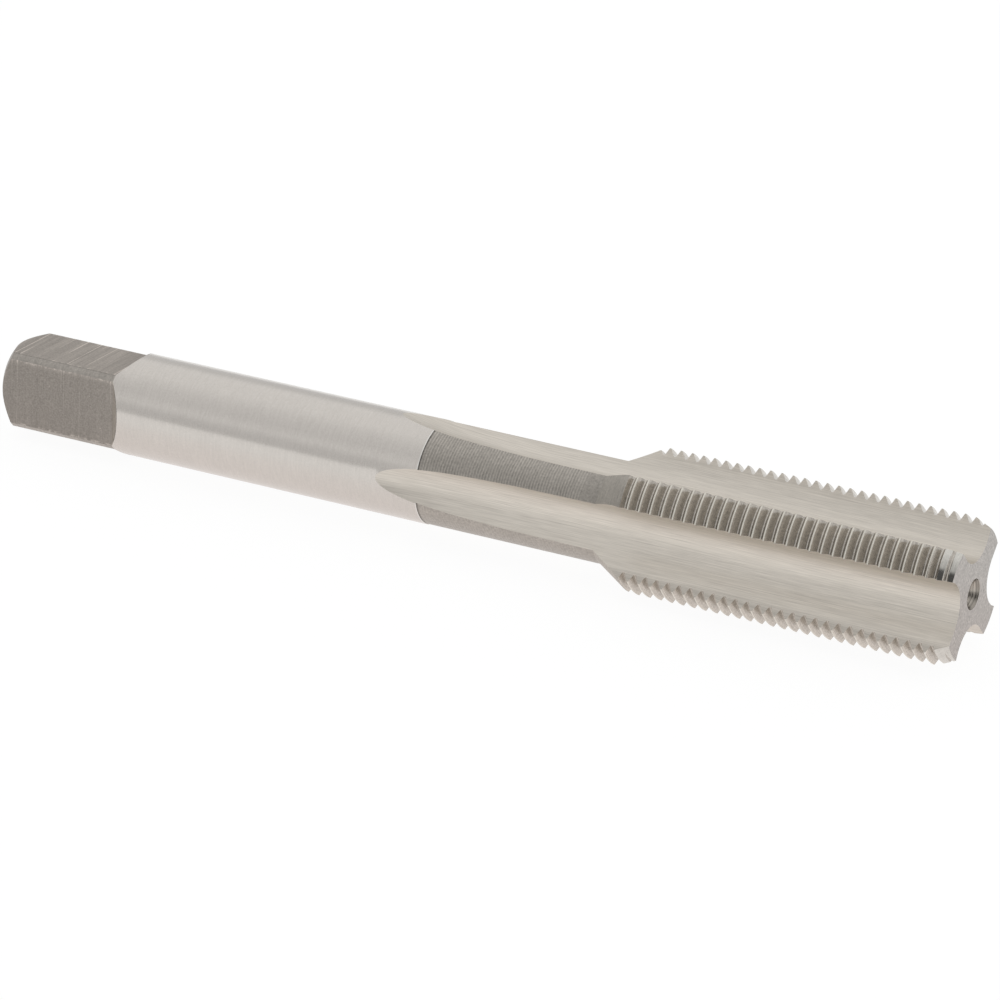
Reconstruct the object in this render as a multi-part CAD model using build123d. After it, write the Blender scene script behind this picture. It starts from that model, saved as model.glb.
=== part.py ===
from build123d import *
import math
import os

# Straight flute hand tap, one piece of ground high-speed steel.
# Millimetres and degrees. X runs along the axis from the square drive end, at zero, to the tip.
# Angles round the axis start at +Z and grow towards -Y, the way the tap turns when it cuts.
# The tap lies with one flute down, on the edges of the two lands beside it.

# Lengths along the axis, from the drive end
overall_length = 80.2
shank_length = 36.85
square_length = 9.98

# Shank and neck
shank_diameter = 8.0
neck_undercut = 0.05
shank_edge_bevel = 0.03

# Drive square, with its flats' ends ramped up to the shank and its corners bevelled at the end face
square_across_flats = 6.06
square_angle = -4.0
square_ramp_angle = 45.0
square_bevel_height = 1.07
square_bevel_length = 0.81

# Thread: 7/16 inch, 28 to the inch, right hand
thread_diameter = 11.1125
thread_pitch = 25.4 / 28
thread_length = 25.9
thread_flank_angle = 30.0
crest_flat = thread_pitch / 8
root_flat = thread_pitch / 4
first_crest_to_tip = 0.57
back_cone_angle = 30.0

# Chamfer at the tip, relieved behind each cutting edge by setting its axis to one side
chamfer_depth = 0.68
chamfer_angle = 23.5
chamfer_relief = 0.30

# Flutes, ground by a wheel that rises slowly behind the thread and then leaves through the shank
flute_count = 4
land_face_offset = 0.97
land_heel_offset = 1.11
flute_root_radius = 2.48
flute_face_radius = 2.97
flute_face_turn = 45.0
flute_rise_inside_thread = 1.8
flute_rise_length = 16.6
flute_rise_radius = 222.0
flute_wheel_radius = 38.0
flute_wheel_lean = 15.0

# Centre holes in both ends
centre_hole_diameter = 2.33
centre_cone_angle = 30.0
centre_pilot_diameter = 1.2
centre_pilot_length = 1.2
centre_drill_angle = 59.0

# How far a cutting shape reaches past the steel, and round the axis for a cut over one land
overcut = 1.0
land_cut_sweep = 54.0

# Sizes that follow
shank_radius = shank_diameter / 2
neck_radius = shank_radius - neck_undercut
thread_radius = thread_diameter / 2
thread_depth = (thread_pitch - crest_flat - root_flat) / 2 / math.tan(math.radians(thread_flank_angle))
root_radius = thread_radius - thread_depth
outside_radius = thread_radius + overcut
thread_back = overall_length - thread_length
chamfer_tip_radius = thread_radius - chamfer_depth
flute_straight_length = thread_length - flute_rise_inside_thread
land_spacing = 360 / flute_count
tap_axis = Axis((0, 0, 0), (1, 0, 0))


def direction(angle):
    """Unit vector across the axis, at an angle round it."""
    turn = math.radians(angle)
    return Vector(0, -math.sin(turn), math.cos(turn))


def ring(points, start_angle=0, sweep=360, axis=tap_axis):
    """A ring or a sector of one: an outline of (x, radius) points turned about an axis."""
    outline = [axis.position + Vector(x, 0, 0) + direction(start_angle) * radius for x, radius in points]
    face = make_face(Polyline(*outline, close=True).edges())
    return revolve(face, axis=axis, revolution_arc=sweep)


def flute_centres(land_angle):
    """Centres of the root arc and of the face arc of the flute ahead of a land."""
    off_face = direction(land_angle + 90)
    off_heel = direction(land_angle + land_spacing - 90)
    shared = off_face.dot(off_heel)
    from_face = land_face_offset + flute_root_radius
    from_heel = land_heel_offset + flute_root_radius
    root_centre = off_face * (from_face - from_heel * shared) + off_heel * (from_heel - from_face * shared)
    root_centre = root_centre * (1 / (1 - shared**2))
    face_centre = root_centre + off_face * (flute_face_radius - flute_root_radius)
    return root_centre, face_centre


def cutting_edge_angle(radius):
    """Angle from a land's centre line to its cutting edge, at a radius."""
    face_centre = flute_centres(0)[1]
    reach = face_centre.length
    centre_angle = math.atan2(face_centre.dot(direction(90)), face_centre.dot(direction(0)))
    cosine = (radius**2 + reach**2 - flute_face_radius**2) / (2 * radius * reach)
    return math.degrees(centre_angle - math.acos(cosine))


def heel_angle(radius):
    """Angle from a land's centre line back to its heel, at a radius."""
    return math.degrees(math.asin(land_heel_offset / radius))


def land_angles():
    """Where the lands stand, one flute down and the crest edges beside it level."""
    lead = cutting_edge_angle(thread_radius) - heel_angle(thread_radius)
    first = 180 + (land_spacing - lead) / 2
    return [first + number * land_spacing for number in range(flute_count)]


def bar():
    """The turned blank: bevelled end, shank, neck, back cone and plain threaded part."""
    cone_length = (thread_radius - neck_radius) / math.tan(math.radians(back_cone_angle))
    points = [
        (0, 0),
        (0, shank_radius - square_bevel_height),
        (square_bevel_length, shank_radius),
        (shank_length - shank_edge_bevel, shank_radius),
        (shank_length, shank_radius - shank_edge_bevel),
        (shank_length, neck_radius),
        (thread_back - cone_length, neck_radius),
        (thread_back, thread_radius),
        (overall_length, thread_radius),
        (overall_length, 0),
    ]
    return ring(points)


def square_flat_cut(angle):
    """What is ground off for one flat of the drive square."""
    flat_height = square_across_flats / 2
    top_height = shank_radius + overcut
    ramp_length = (top_height - flat_height) / math.tan(math.radians(square_ramp_angle))
    points = [
        (-overcut, flat_height),
        (square_length, flat_height),
        (square_length + ramp_length, top_height),
        (-overcut, top_height),
    ]
    outline = [Vector(x, 0, 0) + direction(angle) * height for x, height in points]
    side = make_face(Polyline(*outline, close=True).edges())
    return extrude(side, amount=top_height, dir=direction(angle + 90), both=True)


def flute_section(land_angle, x):
    """Section of the flute ahead of a land: cutting face, round root and the next land's heel."""
    along = direction(land_angle)
    off_face = direction(land_angle + 90)
    off_heel = direction(land_angle + land_spacing - 90)
    next_along = direction(land_angle + land_spacing)
    root_centre, face_centre = flute_centres(land_angle)

    def place(point):
        return Vector(x, 0, 0) + point

    def on_root(angle):
        turn = math.radians(angle)
        inward = off_face * math.cos(turn) + along * math.sin(turn)
        return place(root_centre - inward * flute_root_radius)

    def on_face(angle):
        turn = math.radians(angle)
        inward = off_face * math.cos(turn) - along * math.sin(turn)
        return place(face_centre - inward * flute_face_radius)

    face_slope = math.tan(math.radians(flute_face_turn))
    face_end = on_face(flute_face_turn)
    rise = outside_radius - face_end.dot(along)
    face_top = face_end + along * rise + off_face * (rise * face_slope)
    heel_top = place(off_heel * land_heel_offset + next_along * outside_radius)
    corner_reach = outside_radius / math.cos(math.radians(land_spacing / 2))
    corner = place(direction(land_angle + land_spacing / 2) * corner_reach)
    root_turn = 180 - land_spacing
    edges = [
        ThreePointArc(face_end, on_face(flute_face_turn / 2), on_face(0)),
        ThreePointArc(on_root(0), on_root(root_turn / 2), on_root(root_turn)),
        Line(on_root(root_turn), heel_top),
        Line(heel_top, corner),
        Line(corner, face_top),
        Line(face_top, face_end),
    ]
    return make_face(edges)


def flute_cut(land_angle):
    """The wheel's way along one flute: straight, a slow rise, then out through the shank."""
    outward = direction(land_angle + land_spacing / 2 - flute_wheel_lean)
    hinge = outward.cross(Vector(1, 0, 0))
    floor_height = flute_centres(land_angle)[0].dot(outward) - flute_root_radius
    rise_turn = math.asin(flute_rise_length / flute_rise_radius)
    rise_height = flute_rise_radius * (1 - math.cos(rise_turn))
    exit_height = shank_radius + overcut - floor_height - rise_height
    exit_turn = math.acos(math.cos(rise_turn) - exit_height / flute_wheel_radius) - rise_turn

    front = flute_section(land_angle, overall_length + overcut)
    straight = extrude(front, amount=flute_straight_length + overcut, dir=(-1, 0, 0))

    section = flute_section(land_angle, overall_length - flute_straight_length)
    floor = Vector(overall_length - flute_straight_length, 0, 0) + outward * floor_height
    rise_axis = Axis(floor + outward * flute_rise_radius, hinge)
    rise = revolve(section, axis=rise_axis, revolution_arc=math.degrees(rise_turn))

    section = section.rotate(rise_axis, math.degrees(rise_turn))
    floor += Vector(-flute_rise_length, 0, 0) + outward * rise_height
    lift = outward * math.cos(rise_turn) + Vector(math.sin(rise_turn), 0, 0)
    exit_axis = Axis(floor + lift * flute_wheel_radius, hinge)
    way_out = revolve(section, axis=exit_axis, revolution_arc=math.degrees(exit_turn))
    return [straight, rise, way_out]


def thread_grooves(land_angle, first_crest):
    """The thread's grooves over one land, from past the tip into the back cone.

    Each is a ring sector. The lands are narrow, so the thread's lead shows as a step from land to land.
    """
    flank_width = (outside_radius - root_radius) * math.tan(math.radians(thread_flank_angle))
    points = [
        (-root_flat / 2 - flank_width, outside_radius),
        (-root_flat / 2, root_radius),
        (root_flat / 2, root_radius),
        (root_flat / 2 + flank_width, outside_radius),
    ]
    groove = ring(points, land_angle - land_cut_sweep / 2, land_cut_sweep)
    groove_front = first_crest + thread_pitch / 2
    groove_count = math.ceil(thread_length / thread_pitch) + 2
    return [Pos(groove_front - number * thread_pitch, 0, 0) * groove for number in range(groove_count)]


def chamfer_cut(land_angle):
    """The tapered lead at the tip over one land, falling away behind the cutting edge."""
    slope = math.tan(math.radians(chamfer_angle))
    points = [
        (overall_length - (outside_radius - chamfer_tip_radius) / slope, outside_radius),
        (overall_length + overcut, chamfer_tip_radius - overcut * slope),
        (overall_length + overcut, outside_radius),
    ]
    offset_axis = Axis(direction(land_angle + 90) * chamfer_relief, (1, 0, 0))
    return ring(points, land_angle - land_cut_sweep / 2, land_cut_sweep, offset_axis)


def centre_hole(end, inward):
    """A countersunk centre hole from an end face, going in along X by the sign of inward."""
    slope = math.tan(math.radians(centre_cone_angle))
    mouth_radius = centre_hole_diameter / 2
    pilot_radius = centre_pilot_diameter / 2
    cone_depth = (mouth_radius - pilot_radius) / slope
    pilot_depth = cone_depth + centre_pilot_length
    point_depth = pilot_depth + pilot_radius / math.tan(math.radians(centre_drill_angle))
    points = [
        (end - inward * overcut, 0),
        (end - inward * overcut, mouth_radius + overcut * slope),
        (end + inward * cone_depth, pilot_radius),
        (end + inward * pilot_depth, pilot_radius),
        (end + inward * point_depth, 0),
    ]
    return ring(points)


def tap():
    """The finished tap, cut from the bar."""
    body = bar()
    for quarter in (0, 90, 180, 270):
        body -= square_flat_cut(square_angle + quarter)
    for land_angle in land_angles():
        body -= flute_cut(land_angle)
    for number, land_angle in enumerate(land_angles()):
        first_crest = overall_length - first_crest_to_tip + thread_pitch * number / flute_count
        body -= thread_grooves(land_angle, first_crest)
        body -= chamfer_cut(land_angle)
    body -= centre_hole(0, 1)
    body -= centre_hole(overall_length, -1)
    return body


os.makedirs("parts", exist_ok=True)
export_step(tap(), "parts/tap.step")
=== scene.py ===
import functools
import math

import bmesh
import bpy
from mathutils import Matrix, Vector


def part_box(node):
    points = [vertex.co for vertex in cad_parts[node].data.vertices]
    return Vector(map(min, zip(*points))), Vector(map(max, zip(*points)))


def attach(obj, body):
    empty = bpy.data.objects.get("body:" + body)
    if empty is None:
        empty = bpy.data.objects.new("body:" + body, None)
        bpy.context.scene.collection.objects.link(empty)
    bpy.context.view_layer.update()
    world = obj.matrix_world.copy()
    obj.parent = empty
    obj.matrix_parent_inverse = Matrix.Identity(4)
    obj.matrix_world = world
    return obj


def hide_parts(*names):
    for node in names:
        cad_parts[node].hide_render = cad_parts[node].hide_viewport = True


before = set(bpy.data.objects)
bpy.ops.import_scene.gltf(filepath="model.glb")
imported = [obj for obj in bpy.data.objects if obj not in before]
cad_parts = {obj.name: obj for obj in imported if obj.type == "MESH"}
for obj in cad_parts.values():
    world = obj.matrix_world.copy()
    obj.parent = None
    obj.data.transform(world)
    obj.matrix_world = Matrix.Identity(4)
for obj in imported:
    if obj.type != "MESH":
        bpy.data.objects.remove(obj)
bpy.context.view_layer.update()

# Straight flute hand tap. Lengths here are in millimetres until a mesh is written out in metres.
# X runs along the axis from the square drive end to the tip.
# Angles round the axis are in degrees, from +Z towards -Y, the way the tap turns when it cuts.
MM = 0.001

# Lengths along the axis
overall_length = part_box("tap")[1][0] / MM
shank_length = 36.85
square_length = 9.98

# Four flats, four lands and four flutes, each a quarter turn apart
land_count = 4
quarter_turn = 90

# Shank and neck
shank_radius = 4.0
neck_radius = 3.95
shank_edge_bevel = 0.03
# How far from its end the shank is drawn brighter, a painted highlight along its edge
shank_edge_shine = 0.07

# Drive square
flat_height = 6.06 / 2
square_angle = -4.0
square_bevel_height = 1.07
square_bevel_length = 0.81
ramp_end = square_length + shank_radius - flat_height

# Thread
thread_radius = 11.1125 / 2
thread_pitch = 25.4 / 28
thread_depth = 0.56
thread_length = 25.9
thread_turns = 29
flank_angle = math.radians(30)
tip_to_first_crest = 0.515
root_flat_half = 0.03
crest_half = thread_pitch / 18
root_half = thread_pitch / 2 - crest_half - thread_depth * math.tan(flank_angle)
root_rounding = (root_half - root_flat_half) / math.tan(flank_angle)
first_crest = overall_length - tip_to_first_crest
thread_back = overall_length - thread_length
outside_radius = thread_radius + 1

# Cone from the neck up to the thread's back
cone_slope = math.tan(math.radians(30))
cone_length = (thread_radius - neck_radius) / cone_slope

# The turning tool's rings on the neck
ring_pitch = 0.229
rings_end = overall_length - 29.8

# Chamfer at the tip
chamfer_depth = 0.68
chamfer_angle = 23.5
chamfer_relief = 0.30
chamfer_tip_radius = thread_radius - chamfer_depth
chamfer_slope = math.tan(math.radians(chamfer_angle))

# Flutes: the section, from the cutting face of the land behind it over the root to the next land's heel
land_face_offset = 0.97
land_heel_offset = 1.11
root_arc_radius = 2.48
face_arc_radius = 2.97
heel_straight_length = 1.05
heel_round_radius = 2.7
heel_length = 3.1
root_arc_length = root_arc_radius * math.pi / 2
face_arc_length = face_arc_radius * math.pi / 4
flute_outer_length = root_arc_length + heel_length
crest_heel_angle = math.degrees(math.asin(land_heel_offset / thread_radius))

# Flutes: the way the wheel rises out of the steel, and how much shallower it cuts away from the tip
straight_length = 24.1
rise_length = 16.6
rise_radius = 222.0
wheel_radius = 38.0
wheel_lean = 15.0
web_taper = 0.008
web_blend = 0.06
rise_start = overall_length - straight_length
rise_sine = rise_length / rise_radius
rise_cosine = math.sqrt(1 - rise_sine**2)
rise_height = rise_radius * (1 - rise_cosine)

# The section lies in a plane whose first axis runs along the centre line of the land behind the flute.
# The wheel rises outward, at the lean from that line.
lean = math.radians(quarter_turn / 2 - wheel_lean)
root_centre = Vector((land_heel_offset + root_arc_radius, land_face_offset + root_arc_radius))
outward = Vector((math.cos(lean), math.sin(lean)))
floor_height = root_centre.dot(outward) - root_arc_radius

# Centre holes
hole_radius = 2.33 / 2
hole_cone_angle = 30
pilot_radius = 0.6
pilot_length = 1.2
drill_point_angle = 59

# How finely the surface is divided round the axis
arc_steps = 16
cut_steps = 22
hole_steps = 64
quarter_columns = arc_steps + cut_steps

# How finely each stretch is divided along the axis
bevel_steps = 10
square_steps = 8
ramp_steps = 12
shank_steps = 12
run_out_steps = 24
neck_steps = 28

# Rows that follow the thread's helix, as steps of one pitch: all of them at the tip, every second one
# in the cone, and the plain ones all along. On the neck, the rows turn from straight ones into these.
phase_steps = 32
plain_phases = (2, 6, 10, 12, 14, 15, 17, 18, 20, 22, 26, 30)
straight_rows_end = 3
thread_rows_start = thread_back - cone_length - thread_pitch
cone_rows_end = thread_back + 0.2
tip_rows_start = overall_length - 3.2

# How closely places on a flute are searched for, and where the search for a land's edges begins
halvings = 34
bottom_step = 0.0005
edge_passes = 4
face_guess = 16
heel_guess = -12

# A thread surface this close to the thread's radius is its crest
crest_tolerance = 0.001

# Points this close are made one, and points this close to an end are on it, both in metres
weld_distance = 1e-7
end_tolerance = 1e-6

# The skin is shaded sharp where it turns by more than this angle
sharp_angle = 22

# The skin's surfaces, each with a material of its own
surfaces = ("flat", "ramp", "strip", "bevel", "shank", "step", "neck", "cone", "thread", "crest",
            "chamfer", "flute", "end", "hole")


def bar_radius(x):
    """Radius of the turned blank from the neck to the tip."""
    if x <= thread_back - cone_length:
        return neck_radius
    cone = neck_radius + (x - thread_back + cone_length) * cone_slope
    return min(cone, thread_radius)


def thread_profile_radius(x, turn):
    """Radius of the thread's own profile; turn is the angle ahead of the first land, in degrees."""
    phase = (x - first_crest) / thread_pitch - turn / 360
    if phase < -thread_turns:
        return outside_radius
    from_crest = abs(phase - round(phase)) * thread_pitch
    from_root = thread_pitch / 2 - from_crest
    from_flat = max(from_root - root_flat_half, 0)
    if from_flat < root_rounding * math.cos(flank_angle):
        rise = root_rounding - math.sqrt(root_rounding**2 - from_flat**2)
        return thread_radius - thread_depth + rise
    flank = max(from_crest - crest_half, 0) / math.tan(flank_angle)
    return thread_radius - flank


def chamfer_radius(x, angle):
    """Radius of the relieved chamfer at an angle from its land's centre line."""
    cone = chamfer_tip_radius + (overall_length - x) * chamfer_slope
    turn = math.radians(angle)
    return chamfer_relief * math.sin(turn) + math.sqrt(cone**2 - (chamfer_relief * math.cos(turn)) ** 2)


def land_radius(x, land, angle):
    """Radius of a land's surface, and the name of the surface that sets it."""
    choices = [
        (bar_radius(x), "cone" if x < thread_back else "crest"),
        (thread_profile_radius(x, quarter_turn * land + angle), "thread"),
        (chamfer_radius(x, angle), "chamfer"),
    ]
    return min(choices)


def wheel_lift(height, x):
    """Height over the flute's floor line of a section point, once the wheel's path has lifted it."""
    back = rise_start - x
    if back <= 0:
        return height
    if back <= (rise_radius - height) * rise_sine:
        return rise_radius - math.sqrt((rise_radius - height) ** 2 - back**2)
    from_axis = back - rise_length + wheel_radius * rise_sine
    axis_height = rise_height + wheel_radius * rise_cosine
    return axis_height - math.sqrt((wheel_radius - height) ** 2 - from_axis**2)


def flute_lift(height, x):
    """The same height, with the flute also getting shallower from the tip until the wheel rises."""
    short = web_taper * (overall_length - x) - wheel_lift(0, x)
    return wheel_lift(height, x) + (short + math.hypot(short, web_blend) - web_blend) / 2


@functools.lru_cache(maxsize=None)
def flute_point(place, x):
    """Radius and angle of a point of the flute ahead of a land; place runs from face to heel in mm."""
    if place < 0:
        turn = -place / face_arc_radius
        point = root_centre + Vector((0, face_arc_radius - root_arc_radius))
        point += Vector((math.sin(turn), -math.cos(turn))) * face_arc_radius
    elif place < root_arc_length:
        turn = place / root_arc_radius
        point = root_centre - Vector((math.sin(turn), math.cos(turn))) * root_arc_radius
    else:
        straight = min(place - root_arc_length, heel_straight_length)
        turn = (place - root_arc_length - straight) / heel_round_radius
        point = root_centre + Vector((-root_arc_radius, straight))
        point += Vector((math.cos(turn) - 1, math.sin(turn))) * heel_round_radius
    height = point.dot(outward) - floor_height
    point += outward * (flute_lift(height, x) - height)
    return point.length, math.degrees(math.atan2(point.y, point.x))


def halve(test, low, high):
    """The place between low and high where test turns from true to false."""
    for _ in range(halvings):
        middle = (low + high) / 2
        if test(middle):
            low = middle
        else:
            high = middle
    return low


@functools.lru_cache(maxsize=None)
def flute_bottom(x):
    """Place of the flute's point nearest the axis."""

    def falling(place):
        return flute_point(place + bottom_step, x)[0] < flute_point(place, x)[0]

    return halve(falling, 0, root_arc_length)


def flute_edge(radius, x, side):
    """Place where the flute meets a radius, on its face side (-1) or its heel side (+1)."""
    bottom = flute_bottom(x)
    far = -face_arc_length if side < 0 else flute_outer_length
    return halve(lambda place: flute_point(place, x)[0] < radius, bottom, far)


def flute_end():
    """Where along the axis the flute's run-out leaves the shank, and at which angle from its land."""

    def open_groove(x):
        return flute_point(flute_bottom(x), x)[0] < shank_radius

    x = halve(open_groove, rise_start - rise_length, square_length)
    return x, flute_point(flute_bottom(x), x)[1]


def first_land_angle():
    """The lands stand so that one flute is down and the crest edges beside it are level."""
    ahead = flute_point(flute_edge(thread_radius, overall_length, -1), overall_length)[1]
    return 180 + (quarter_turn - ahead + crest_heel_angle) / 2


land_zero = first_land_angle()
run_out_x, run_out_angle = flute_end()
square_cut_angle = 180 + square_angle + quarter_turn - land_zero


def at(x, radius, angle):
    """A point in metres from its place along the axis, radius and angle."""
    turn = math.radians(angle)
    return Vector((x, -radius * math.sin(turn), radius * math.cos(turn))) * MM


def spread(start, end, steps, power=1):
    """Places from start towards end, without end, closer together near start for a power over 1."""
    return [start + (end - start) * (step / steps) ** power for step in range(steps)]


def plain_rows():
    """Rows across the axis from the drive end to the neck, as (x, radius of the blank)."""
    above_bevel = flat_height - shank_radius + square_bevel_height
    flat_start = square_bevel_length * above_bevel / square_bevel_height
    shine_start = shank_length - shank_edge_shine
    rows = [(0, shank_radius - square_bevel_height)]
    for x in spread(flat_start, square_bevel_length, bevel_steps, 2):
        rows.append((x, shank_radius - square_bevel_height * (1 - x / square_bevel_length)))
    stretches = (
        spread(square_bevel_length, square_length, square_steps),
        [square_length],
        reversed(spread(ramp_end, square_length, ramp_steps, 2)[1:]),
        spread(ramp_end, run_out_x, shank_steps),
        spread(run_out_x, shine_start, run_out_steps, 2),
        [shine_start, shank_length - shank_edge_bevel],
    )
    rows += [(x, shank_radius) for stretch in stretches for x in stretch]
    rows.append((shank_length, shank_radius - shank_edge_bevel))
    return rows


def neck_rows():
    """Rows of the neck, up to where the thread's rows begin."""
    return [(x, neck_radius) for x in spread(shank_length, thread_rows_start, neck_steps)]


def thread_rows():
    """Rows that follow the thread's helix, dense in the back cone and at the tip."""
    first = math.ceil((thread_rows_start - first_crest) / thread_pitch * phase_steps)
    last = math.ceil((overall_length + thread_pitch - first_crest) / thread_pitch * phase_steps)
    rows = []
    for number in range(first, last + 1):
        x = first_crest + number * thread_pitch / phase_steps
        in_cone = x < cone_rows_end and number % 2 == 0
        at_tip = x > tip_rows_start
        if in_cone or at_tip or number % phase_steps in plain_phases:
            rows.append((x, None))
    return rows


def helix_share(x):
    """How far a row follows the helix: not at all on the shank, partly on the neck, then fully."""
    past_start = x - shank_length - straight_rows_end
    whole = thread_rows_start - shank_length - straight_rows_end
    return min(max(past_start / whole, 0), 1)


def land_point(row_x, row_radius, land, angle):
    """x and radius of a row's point on a land."""
    shift = helix_share(row_x) * thread_pitch * (land / land_count + angle / 360)
    x = min(row_x + shift, overall_length)
    if row_radius is None:
        return x, land_radius(x, land, angle)[0]
    return x, row_radius


def cut_edges(row_x, row_radius, land):
    """Where the cut ahead of a land begins and the one behind it ends, as angles from the land."""
    if row_x <= ramp_end:
        height = flat_height + max(row_x - square_length, 0)
        half = math.degrees(math.acos(min(height / row_radius, 1)))
        return square_cut_angle - half, square_cut_angle - quarter_turn + half
    if row_x <= run_out_x:
        share = (row_x - ramp_end) / (run_out_x - ramp_end)
        middle = square_cut_angle + (run_out_angle - square_cut_angle) * share
        return middle, middle - quarter_turn
    edges = []
    for side, guess in ((-1, face_guess), (1, heel_guess)):
        angle = guess
        for _ in range(edge_passes):
            x, radius = land_point(row_x, row_radius, land, angle)
            angle = flute_point(flute_edge(radius, x, side), x)[1]
            if side > 0:
                angle -= quarter_turn
        edges.append(angle)
    return edges


def flat_point(row_x, row_radius, share):
    """Radius and angle from the land of a point on the flat ahead of it; share runs across the flat."""
    height = min(flat_height + max(row_x - square_length, 0), row_radius)
    half_width = math.sqrt(row_radius**2 - height**2)
    across = half_width * (2 * share - 1)
    return math.hypot(height, across), square_cut_angle + math.degrees(math.atan2(across, height))


def cut_points(row_x, row_radius, last, following):
    """Points of a row across a cut, between the last point of its land and the first of the land after.

    All are given as (x, radius, angle from the land).
    """
    x_face, face_radius, face_angle = last
    x_heel, heel_radius = following[:2]
    fluted = row_x > run_out_x
    if fluted:
        place_face = flute_edge(face_radius, x_face, -1)
        place_heel = flute_edge(heel_radius, x_heel, 1)
    points = []
    for step in range(1, cut_steps):
        share = step / cut_steps
        x = x_face + (x_heel - x_face) * share
        if fluted:
            radius, angle = flute_point(place_face + (place_heel - place_face) * share, x)
        elif row_x < ramp_end:
            radius, angle = flat_point(row_x, row_radius, share)
        else:
            radius, angle = face_radius, face_angle
        points.append((x, radius, angle))
    return points


def row_points(row_x, row_radius):
    """All points of one row, land by land, each land followed by the cut ahead of it."""
    lands = []
    for land in range(land_count):
        ahead, behind = cut_edges(row_x, row_radius, land)
        angles = [behind + (ahead - behind) * step / arc_steps for step in range(arc_steps + 1)]
        lands.append([(*land_point(row_x, row_radius, land, angle), angle) for angle in angles])
    points = []
    for land in range(land_count):
        turn = land_zero + quarter_turn * land
        cut = cut_points(row_x, row_radius, lands[land][-1], lands[(land + 1) % land_count][0])
        points += [at(x, radius, turn + angle) for x, radius, angle in lands[land] + cut]
    return points


def surface_name(column, low, high):
    """Name of the surface between two rows at a column, for rows given as (x, radius of the blank)."""
    on_land = column % quarter_columns < arc_steps
    middle = (low[0] + high[0]) / 2
    if middle < ramp_end:
        if not on_land:
            return "flat" if middle < square_length else "ramp"
        if middle < square_bevel_length:
            return "bevel"
        return "strip" if middle < square_length else "shank"
    if not on_land:
        return "flute"
    if middle < shank_length - shank_edge_shine:
        return "shank"
    # The shank's last stretch has its own brighter finish, a painted highlight
    if middle <= shank_length:
        return "step"
    return "neck"


def thread_surface(corners, column):
    """Which of the threaded part's surfaces a face on a land belongs to."""
    land = column // quarter_columns
    middle = sum((painted_step_shadow.co for painted_step_shadow in corners), Vector()) / len(corners) / MM
    angle = math.degrees(math.atan2(-middle.y, middle.z)) - land_zero - quarter_turn * land
    angle = (angle + 180) % 360 - 180
    if middle.x < thread_back - cone_length:
        return "neck"
    radius, name = land_radius(middle.x, land, angle)
    if name == "thread" and radius > thread_radius - crest_tolerance:
        return "crest"
    return name


def body_mesh():
    """The whole outside of the tap as one skin, with a surface name for each face."""
    rows = plain_rows() + neck_rows() + thread_rows()
    columns = land_count * quarter_columns
    mesh = bmesh.new()
    grid = [[mesh.verts.new(point) for point in row_points(*row)] for row in rows]
    for number in range(len(rows) - 1):
        for column in range(columns):
            following = (column + 1) % columns
            corners = (
                grid[number][column],
                grid[number][following],
                grid[number + 1][following],
                grid[number + 1][column],
            )
            face = mesh.faces.new(corners)
            name = surface_name(column, rows[number], rows[number + 1])
            if name == "neck" and rows[number][1] is None:
                name = thread_surface(corners, column)
            face.material_index = surfaces.index(name)
            face.smooth = True
    return mesh


def centre_hole(mesh, end, inward):
    """A countersunk centre hole; returns the edges of its mouth."""
    cone_depth = (hole_radius - pilot_radius) / math.tan(math.radians(hole_cone_angle))
    pilot_depth = cone_depth + pilot_length
    point_depth = pilot_depth + pilot_radius / math.tan(math.radians(drill_point_angle))
    angles = [360 * step / hole_steps for step in range(hole_steps)]
    loops = []
    for depth, radius in ((0, hole_radius), (cone_depth, pilot_radius), (pilot_depth, pilot_radius)):
        loops.append([mesh.verts.new(at(end + inward * depth, radius, angle)) for angle in angles])
    tip = mesh.verts.new(at(end + inward * point_depth, 0, 0))
    faces = []
    for step in range(hole_steps):
        following = (step + 1) % hole_steps
        for near, far in zip(loops, loops[1:]):
            faces.append(mesh.faces.new((near[step], near[following], far[following], far[step])))
        faces.append(mesh.faces.new((loops[-1][step], loops[-1][following], tip)))
    for face in faces:
        face.material_index = surfaces.index("hole")
        face.smooth = True
    mouth = loops[0]
    return [mesh.edges.get((mouth[step], mouth[(step + 1) % hole_steps])) for step in range(hole_steps)]


def close_ends(mesh):
    """The two end faces, each round its centre hole."""
    bmesh.ops.remove_doubles(mesh, verts=mesh.verts[:], dist=weld_distance)
    open_edges = [edge for edge in mesh.edges if edge.is_boundary]
    for end, inward in ((0, 1), (overall_length, -1)):
        outline = [edge for edge in open_edges if abs(edge.verts[0].co.x - end * MM) < end_tolerance]
        edges = outline + centre_hole(mesh, end, inward)
        filled = bmesh.ops.triangle_fill(mesh, use_beauty=True, use_dissolve=False, edges=edges)
        for face in filled["geom"]:
            if isinstance(face, bmesh.types.BMFace):
                face.material_index = surfaces.index("end")


def mark_sharp(mesh):
    """Sharp where two surfaces meet and where the skin turns hard."""
    for edge in mesh.edges:
        if len(edge.link_faces) != 2:
            continue
        one, other = edge.link_faces
        turned = one.normal.angle(other.normal, 0) > math.radians(sharp_angle)
        edge.smooth = one.material_index == other.material_index and not turned


def tap():
    """The finished tap as one object."""
    mesh = body_mesh()
    close_ends(mesh)
    bmesh.ops.recalc_face_normals(mesh, faces=mesh.faces[:])
    mesh.normal_update()
    mark_sharp(mesh)
    data = bpy.data.meshes.new("tap_steel")
    mesh.to_mesh(data)
    mesh.free()
    piece = bpy.data.objects.new("tap_steel", data)
    bpy.context.scene.collection.objects.link(piece)
    return piece


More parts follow.
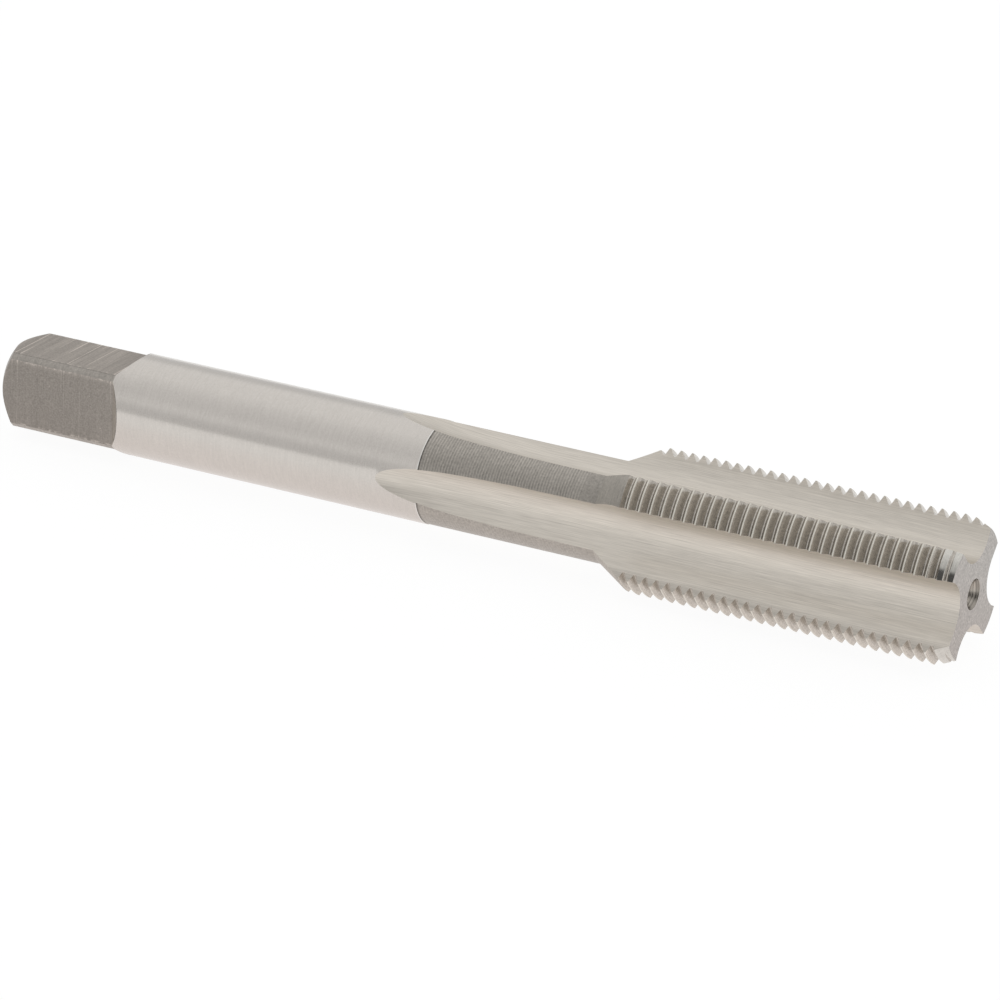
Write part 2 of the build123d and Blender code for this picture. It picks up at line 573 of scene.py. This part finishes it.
class Nodes:
    """A node tree, with short ways to add to it, which return a new node's first output."""

    def __init__(self, tree):
        self.tree = tree

    def link(self, output, socket):
        """A link from an output to an input."""
        self.tree.links.new(output, socket)

    def add(self, kind, *inputs, **settings):
        """A node with its settings, and its inputs linked or set in order."""
        node = self.tree.nodes.new("ShaderNode" + kind)
        for name, value in settings.items():
            setattr(node, name, value)
        for number, value in enumerate(inputs):
            if isinstance(value, bpy.types.NodeSocket):
                self.link(value, node.inputs[number])
            else:
                node.inputs[number].default_value = value
        return node.outputs[0]

    def math(self, operation, *inputs):
        """A calculation on one to three values."""
        return self.add("Math", *inputs, operation=operation)

    def plus(self, total, *others):
        """Sum of values."""
        for other in others:
            total = self.math("ADD", total, other)
        return total

    def minus(self, value, other):
        """Difference of two values."""
        return self.math("SUBTRACT", value, other)

    def times(self, product, *others):
        """Product of values."""
        for other in others:
            product = self.math("MULTIPLY", product, other)
        return product

    def square(self, value):
        """A value times itself."""
        return self.times(value, value)

    def ramp(self, value, low, high, to_low=0, to_high=1):
        """Value taken from low..high to another range, and held at its ends."""
        return self.add("MapRange", value, low, high, to_low, to_high, clamp=True)


class Finish(Nodes):
    """A bare steel material, with the coordinates and patterns that its marks are drawn from."""

    def __init__(self, name, roughness):
        self.material = bpy.data.materials.new(name)
        self.material.use_nodes = True
        super().__init__(self.material.node_tree)
        self.shader = self.tree.nodes["Principled BSDF"]
        self.shader.inputs["Metallic"].default_value = 1
        self.shader.inputs["Roughness"].default_value = roughness
        place = self.add("TexCoord").node.outputs["Object"]
        in_mm = self.add("VectorMath", place, operation="SCALE")
        in_mm.node.inputs["Scale"].default_value = 1 / MM
        self.x, self.y, self.z = self.add("SeparateXYZ", in_mm).node.outputs
        self.radius = self.math("SQRT", self.plus(self.square(self.y), self.square(self.z)))
        self.turn = self.math("ARCTAN2", self.times(self.y, -1), self.z)

    def lines_round(self, amount):
        """The grinding lines run round the axis, so that reflections smear along it."""
        self.smear(self.add("CombineXYZ", 1, 0, 0), amount)

    def lines_along(self, amount):
        """The grinding lines run along the axis, so that reflections smear across it."""
        normal = self.add("NewGeometry").node.outputs["Normal"]
        self.smear(self.add("VectorMath", normal, (1, 0, 0), operation="CROSS_PRODUCT"), amount)

    def smear(self, direction, amount):
        """Reflections are drawn out along a direction."""
        self.link(direction, self.shader.inputs["Tangent"])
        self.shader.inputs["Anisotropic"].default_value = amount

    def cells(self, places, sizes, detail=2, offset=0):
        """Noise from 0 to 1 over any three coordinates, whose grains have these sizes."""
        scaled = [self.math("DIVIDE", place, size) for place, size in zip(places, sizes)]
        scaled[0] = self.plus(scaled[0], offset)
        noise = self.add("TexNoise", self.add("CombineXYZ", *scaled))
        noise.node.inputs["Scale"].default_value = 1
        noise.node.inputs["Detail"].default_value = detail
        return noise

    def noise(self, sizes, detail=2, offset=0):
        """Noise from 0 to 1 whose grains have these sizes along x, y and z, in millimetres."""
        return self.cells((self.x, self.y, self.z), sizes, detail, offset)

    def speckle(self, size, detail=2, offset=0):
        """Noise from 0 to 1 whose grains have the same size every way, in millimetres."""
        return self.noise((size, size, size), detail, offset)

    def weighted(self, *pairs):
        """Sum of patterns about their middle, each times its weight."""
        return self.plus(*[self.times(self.minus(pattern, 0.5), weight) for pattern, weight in pairs])

    def colour(self, tone, colour):
        """Base colour: the given colour, lighter or darker by tone, where tone 0 changes nothing."""
        product = self.add("VectorMath", colour, operation="SCALE")
        self.link(self.math("MAXIMUM", self.plus(tone, 1), 0), product.node.inputs["Scale"])
        self.link(product, self.shader.inputs["Base Color"])

    def bump(self, height, depth):
        """Surface marks as deep as depth, in millimetres, for a height from 0 to 1."""
        bump = self.add("Bump")
        bump.node.inputs["Distance"].default_value = depth * MM
        self.link(height, bump.node.inputs["Height"])
        self.link(bump, self.shader.inputs["Normal"])


def ground_round(name, colour, roughness, contrast, depth):
    """Steel ground while it turned: fine lines round the axis."""
    finish = Finish(name, roughness)
    finish.lines_round(0.5)
    lines = finish.noise((0.12, 1.2, 1.2))
    speckle = finish.speckle(0.16, offset=5)
    patches = finish.speckle(1.6, detail=3, offset=7)
    tone = finish.weighted((lines, contrast), (speckle, contrast), (patches, contrast / 3))
    finish.colour(tone, colour)
    finish.bump(speckle, depth)
    return finish.material


def milled_square(name, colour, roughness):
    """The square's faces: dark and scratched across the axis, with painted light on the top face, which
    is drawn lighter and its scratches stronger.

    Their rims are rubbed bright, apart from a dark line where the ramps meet the shank.
    """
    finish = Finish(name, roughness)
    lines = finish.noise((0.11, 6, 6))
    broad = finish.noise((0.5, 9, 9), offset=3)
    speckle = finish.speckle(0.13, detail=1, offset=5)
    scratch = finish.ramp(finish.noise((0.12, 30, 30), detail=0, offset=11), 0.61, 0.72)
    length = finish.ramp(finish.noise((0.5, 4, 4), detail=1, offset=17), 0.42, 0.52)
    nick = finish.ramp(finish.speckle(0.22, detail=0, offset=29), 0.83, 0.88)
    # Painted light: the top face, which light falls on from above, is drawn lighter and its lines and
    # scratches stronger.
    painted_top_light = finish.ramp(finish.z, flat_height - 0.6, flat_height - 0.3, 0.25, 1)
    rim = finish.ramp(finish.radius, shank_radius - 0.12, shank_radius - 0.02)
    rubbed = finish.ramp(finish.speckle(0.35, offset=37), 0.50, 0.62)
    behind = finish.ramp(finish.x, square_length + 0.3, square_length + 0.4, 0, 0.9)
    scratches = finish.times(scratch, length, 0.85)
    marks = finish.plus(scratches, finish.weighted((lines, 0.55), (broad, 0.5)))
    tone = finish.plus(finish.times(marks, painted_top_light), finish.weighted((speckle, 0.65)))
    tone = finish.plus(tone, finish.times(rim, rubbed, 0.6))
    tone = finish.minus(tone, finish.times(rim, behind))
    tone = finish.plus(tone, finish.times(nick, 0.6), finish.times(painted_top_light, 0.21))
    finish.colour(tone, colour)
    finish.bump(lines, 0.0015)
    return finish.material


def corner_strip(name, colour, roughness):
    """The round strips at the square's corners, each with a dark line where it leaves a flat."""
    finish = Finish(name, roughness)
    finish.lines_round(0.5)
    lines = finish.noise((0.12, 1.2, 1.2))
    speckle = finish.speckle(0.16, offset=5)
    patches = finish.speckle(1.6, detail=3, offset=7)
    half_flat = math.acos(flat_height / shank_radius)
    past_flat = finish.minus(finish.turn, math.radians(square_angle) + half_flat)
    past_flat = finish.math("FLOORED_MODULO", past_flat, math.pi / 2)
    dark_line = finish.ramp(past_flat, 0, math.radians(1.6), 0.32, 0)
    tone = finish.weighted((lines, 0.5), (speckle, 0.6), (patches, 0.2))
    finish.colour(finish.minus(tone, dark_line), colour)
    finish.bump(speckle, 0.001)
    return finish.material


def turned_neck(name, colour, roughness, ring_depth):
    """The neck, with the turning tool's rings, and painted shade on its upper side, where the rings are
    drawn stronger and the steel a little darker.
    """
    finish = Finish(name, roughness)
    along = finish.plus(finish.x, finish.times(finish.speckle(3), 0.25))
    rings = finish.math("SINE", finish.times(along, 2 * math.pi / ring_pitch))
    rings = finish.math("MULTIPLY_ADD", rings, 0.5, 0.5)
    fading = finish.ramp(finish.x, rings_end - 0.3, rings_end, 1, 0)
    worn = finish.ramp(finish.noise((0.8, 1.2, 1.2), offset=41), 0.3, 0.7, 0.6, 1)
    rings = finish.times(rings, finish.times(fading, worn))
    speckle = finish.speckle(0.16, offset=5)
    uneven = finish.noise((0.5, 3, 3))
    # Painted shade: on the upper side the rings are drawn with more contrast and the steel a little
    # darker; the lower side is left plain.
    darkened_side = finish.ramp(finish.turn, math.radians(60), math.radians(100), 1, 0)
    upper_ring_shade = finish.times(darkened_side, finish.weighted((rings, 0.30)))
    # Painted shadow: a dark line drawn on the neck right beside the shank's step.
    painted_step_shadow = finish.ramp(finish.x, shank_length, shank_length + 0.2, 0.55, 0)
    tone = finish.weighted((rings, 0.06), (speckle, 0.75), (uneven, 0.15))
    tone = finish.plus(tone, finish.minus(upper_ring_shade, finish.times(darkened_side, 0.02)))
    finish.colour(finish.minus(tone, painted_step_shadow), colour)
    finish.bump(rings, ring_depth)
    return finish.material


def flute_rise(finish):
    """How far the flute has risen at a place along the axis, by the wheel or by its own taper."""
    back = finish.math("MAXIMUM", finish.minus(rise_start, finish.x), 0)
    late = finish.math("MAXIMUM", finish.minus(back, rise_length), 0)
    early = finish.square(finish.math("MINIMUM", back, rise_length))
    slow = finish.math("DIVIDE", early, 2 * rise_radius)
    fast = finish.math("DIVIDE", finish.square(late), 2 * wheel_radius)
    rise = finish.plus(slow, finish.times(late, rise_sine), fast)
    taper = finish.times(finish.minus(overall_length, finish.x), web_taper)
    return finish.math("MAXIMUM", rise, taper)


def brushed_flute(name, colour, roughness):
    """The flutes, with the grinding wheel's lines lengthwise, and darker along their heels near the
    rim.
    """
    finish = Finish(name, roughness)
    finish.lines_along(0.9)
    ahead = finish.minus(finish.turn, math.radians(land_zero))
    ahead = finish.math("FLOORED_MODULO", ahead, math.pi / 2)
    from_lean = finish.minus(ahead, lean)
    across = finish.times(finish.radius, finish.math("SINE", from_lean))
    height = finish.times(finish.radius, finish.math("COSINE", from_lean))
    places = (finish.x, across, finish.minus(height, flute_rise(finish)))
    fine = finish.cells(places, (6, 0.042, 0.042), detail=1)
    short = finish.cells(places, (1.6, 0.05, 0.05), detail=1, offset=5)
    uneven = finish.cells(places, (12, 0.5, 0.5), detail=1, offset=9)
    # Darker along the heel side of each flute, towards the rim.
    heel_side = finish.ramp(ahead, math.radians(50), math.radians(60))
    darkened_side = finish.times(heel_side, finish.ramp(finish.radius, 4.75, 5.2, 0, 0.22))
    tone = finish.weighted((fine, 0.50), (short, 0.34), (uneven, 0.03))
    finish.colour(finish.minus(tone, darkened_side), colour)
    finish.bump(fine, 0.0004)
    return finish.material


def threaded(name, colour, roughness, contrast):
    """The thread's own surfaces, with grinding lines along the groove, and painted shade that darkens
    the groove towards its root.
    """
    finish = Finish(name, roughness)
    finish.lines_round(0.5)
    lines = finish.cells((finish.radius, finish.x, finish.turn), (0.06, 0.07, 1.2), detail=1)
    speckle = finish.speckle(0.17, offset=5)
    # Painted shade: the groove is drawn darker the deeper it goes.
    depth = finish.ramp(finish.radius, thread_radius - 0.05, thread_radius - 0.4, 0, 0.17)
    tone = finish.weighted((lines, contrast), (speckle, 1.2 * contrast))
    finish.colour(finish.minus(tone, depth), colour)
    return finish.material


def end_face(name, colour, roughness):
    """The end faces: faint rings, a fine speckle and dark spots."""
    finish = Finish(name, roughness)
    rings = finish.cells((finish.radius, finish.turn, finish.turn), (0.08, 0.8, 0.8))
    speckle = finish.speckle(0.2, detail=3, offset=5)
    spots = finish.ramp(finish.speckle(0.2, detail=1, offset=13), 0.30, 0.22)
    tone = finish.weighted((rings, 0.8), (speckle, 1.0))
    finish.colour(finish.minus(tone, finish.times(spots, 0.25)), colour)
    finish.bump(speckle, 0.002)
    return finish.material


def drilled(name, colour, roughness):
    """The centre holes, with the drill's rings."""
    finish = Finish(name, roughness)
    rings = finish.cells((finish.radius, finish.x, finish.turn), (0.09, 0.12, 3), detail=1)
    finish.colour(finish.weighted((rings, 1.8)), colour)
    finish.bump(rings, 0.02)
    return finish.material


def finishes():
    """A material for each surface."""
    return {
        "flat": milled_square("steel_flat", (0.355, 0.325, 0.295), 0.58),
        # Painted light: the ramps take the flats' finish in a lighter colour, standing in for light
        # they miss by mirroring the dark flats.
        "ramp": milled_square("steel_ramp_painted_light", (0.50, 0.46, 0.41), 0.60),
        "strip": corner_strip("steel_strip", (0.435, 0.404, 0.368), 0.42),
        "bevel": ground_round("steel_bevel", (0.44, 0.41, 0.375), 0.45, 0.60, 0.001),
        "shank": ground_round("steel_shank", (0.625, 0.59, 0.552), 0.22, 0.13, 0.0010),
        # Painted highlight: the shank's last stretch before the neck is drawn brighter and glossier.
        "step": ground_round("steel_edge_painted_highlight", (0.75, 0.73, 0.70), 0.2, 0.05, 0.0004),
        "neck": turned_neck("steel_neck", (0.430, 0.401, 0.363), 0.37, 0.020),
        "cone": ground_round("steel_cone", (0.495, 0.464, 0.418), 0.50, 0.50, 0.0005),
        "thread": threaded("steel_thread", (0.60, 0.56, 0.505), 0.26, 0.5),
        "crest": threaded("steel_crest", (0.70, 0.67, 0.60), 0.26, 0.2),
        "chamfer": threaded("steel_chamfer", (0.74, 0.72, 0.67), 0.12, 0.2),
        "flute": brushed_flute("steel_flute", (0.675, 0.63, 0.565), 0.30),
        "end": end_face("steel_end", (0.455, 0.43, 0.405), 0.42),
        "hole": drilled("steel_hole", (0.33, 0.302, 0.267), 0.24),
    }


# Camera, where the photograph was taken from
camera_place = Vector((207.666, -322.483, 166.608)) * MM
camera_azimuth = 27.1988
camera_elevation = 24.8260
camera_roll = 0.7552
camera_lens = 192.415
sensor_width = 36

# Brightness of the studio round the tap, by the angle from straight up, towards the photographer's side
studio_tones = (
    (-180, 1.0), (-95, 1.0), (-86, 0.70), (-66, 0.70), (-50, 0.93), (-8, 0.93), (20, 0.81),
    (40, 0.78), (60, 0.88), (72, 0.73), (87, 0.68), (93, 1.0), (180, 1.0),
)

# The dark place where the photographer stands, which polished faces mirror: shade with a darker spot.
# Each is two cosines of the angle to the photographer, then the brightness at either.
photographer_azimuth = 28
photographer_elevation = 35
photographer_shade = (0.68, 0.90, 1, 0.72)
photographer_spot = (0.91, 0.945, 1, 0.16)

# The dim wall beyond the drive end, as two values of a ray's X, then the brightness at either
drive_end_shade = (-0.85, -0.5, 0.66, 1)

# Floor: its half width in metres, its look, and the glow that the camera and the steel see in its place
white = (1, 1, 1, 1)
floor_reach = 1.6
floor_colour = (0.95, 0.95, 0.95, 1)
floor_roughness = 0.9
floor_glow = 1.04
floor_glow_share = 0.9

# The steel sees the floor's glow with a painted shadow, darker and a little warm, full near the tap's
# axis and gone far from it
painted_floor_shadow = (0.985, 0.945, 0.935, 1)
painted_shadow_near = 4 * MM
painted_shadow_far = 16 * MM


def add_camera():
    """The camera at the photograph's place and angle."""
    data = bpy.data.cameras.new("camera")
    data.lens = camera_lens
    data.sensor_width = sensor_width
    data.clip_start = 0.01
    data.clip_end = 10
    camera = bpy.data.objects.new("camera", data)
    bpy.context.scene.collection.objects.link(camera)
    turn = Matrix.Rotation(math.radians(camera_azimuth), 4, "Z")
    tilt = Matrix.Rotation(math.radians(90 - camera_elevation), 4, "X")
    roll = Matrix.Rotation(math.radians(camera_roll), 4, "Z")
    camera.matrix_world = Matrix.Translation(camera_place) @ turn @ tilt @ roll
    bpy.context.scene.camera = camera


def add_studio():
    """Soft light, dimmer at the sides, past the drive end and where the photographer stands.

    The camera itself sees plain white.
    """
    world = bpy.data.worlds.new("studio")
    bpy.context.scene.world = world
    world.use_nodes = True
    nodes = Nodes(world.node_tree)
    ray = nodes.add("TexCoord").node.outputs["Generated"]
    ray_x, ray_y, ray_z = nodes.add("SeparateXYZ", ray).node.outputs
    angle = nodes.math("ARCTAN2", nodes.times(ray_y, -1), ray_z)
    tones = nodes.add("ValToRGB", nodes.math("MULTIPLY_ADD", angle, 1 / (2 * math.pi), 0.5))
    stops = tones.node.color_ramp.elements
    for degrees, tone in studio_tones[1:-1]:
        stops.new(degrees / 360 + 0.5).color = (tone, tone, tone, 1)
    for stop, (degrees, tone) in ((stops[0], studio_tones[0]), (stops[-1], studio_tones[-1])):
        stop.position = degrees / 360 + 0.5
        stop.color = (tone, tone, tone, 1)
    turn = math.radians(photographer_azimuth)
    rise = math.radians(photographer_elevation)
    level = math.cos(rise)
    photographer = Vector((math.sin(turn) * level, -math.cos(turn) * level, math.sin(rise)))
    facing = nodes.add("VectorMath", ray, photographer, operation="DOT_PRODUCT").node.outputs["Value"]
    shade = nodes.times(
        nodes.ramp(facing, *photographer_shade),
        nodes.ramp(facing, *photographer_spot),
        nodes.ramp(ray_x, *drive_end_shade),
    )
    lit = nodes.tree.nodes["Background"]
    lit.inputs["Color"].default_value = white
    nodes.link(nodes.times(tones, shade), lit.inputs["Strength"])
    seen = nodes.add("LightPath").node.outputs["Is Camera Ray"]
    mix = nodes.add("MixShader", seen, lit.outputs[0], nodes.add("Background", white, 1))
    nodes.link(mix, nodes.tree.nodes["World Output"].inputs["Surface"])


def floor_material():
    """A pale matt floor, mixed with a glow for the camera and for the steel that mirrors it, with a
    painted shadow under the tap in what the steel mirrors.
    """
    material = bpy.data.materials.new("floor_white")
    material.use_nodes = True
    nodes = Nodes(material.node_tree)
    shader = nodes.tree.nodes["Principled BSDF"]
    shader.inputs["Base Color"].default_value = floor_colour
    shader.inputs["Roughness"].default_value = floor_roughness
    shader.inputs["Specular IOR Level"].default_value = 0
    ray = nodes.add("LightPath").node.outputs
    place = nodes.add("TexCoord").node.outputs["Object"]
    across = nodes.math("ABSOLUTE", nodes.add("SeparateXYZ", place).node.outputs["Y"])
    # Painted shadow under the tap, seen only in the steel's reflections of the floor
    near = nodes.ramp(across, painted_shadow_near, painted_shadow_far, 1, 0)
    shadow_tint = nodes.add("Mix", nodes.times(near, ray["Is Glossy Ray"]), data_type="RGBA").node
    shadow_tint.inputs[6].default_value = white
    shadow_tint.inputs[7].default_value = painted_floor_shadow
    glow = nodes.add("Emission", shadow_tint.outputs[2], floor_glow)
    seen = nodes.math("MAXIMUM", ray["Is Camera Ray"], ray["Is Glossy Ray"])
    mix = nodes.add("MixShader", nodes.times(seen, floor_glow_share), shader.outputs[0], glow)
    nodes.link(mix, nodes.tree.nodes["Material Output"].inputs["Surface"])
    return material


def add_floor():
    """A pale floor that the tap rests on, by the rim of its shank and the first threads at the back."""
    rest_height = thread_radius * math.cos(math.radians(land_zero - crest_heel_angle - 180))
    slope = (rest_height - shank_radius) / (thread_back - ramp_end)
    corners = [(-1, -1), (1, -1), (1, 1), (-1, 1)]
    data = bpy.data.meshes.new("floor")
    data.from_pydata([Vector((x, y, 0)) * floor_reach for x, y in corners], [], [(0, 1, 2, 3)])
    floor = bpy.data.objects.new("floor", data)
    bpy.context.scene.collection.objects.link(floor)
    touch = Vector((ramp_end, 0, -shank_radius)) * MM
    floor.matrix_world = Matrix.Translation(touch) @ Matrix.Rotation(math.atan(slope), 4, "Y")
    floor.data.materials.append(floor_material())


tap_piece = tap()
looks = finishes()
for surface in surfaces:
    tap_piece.data.materials.append(looks[surface])
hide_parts("tap")
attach(tap_piece, "root")

add_camera()
add_studio()
add_floor()
bpy.context.scene.view_settings.view_transform = "Standard"
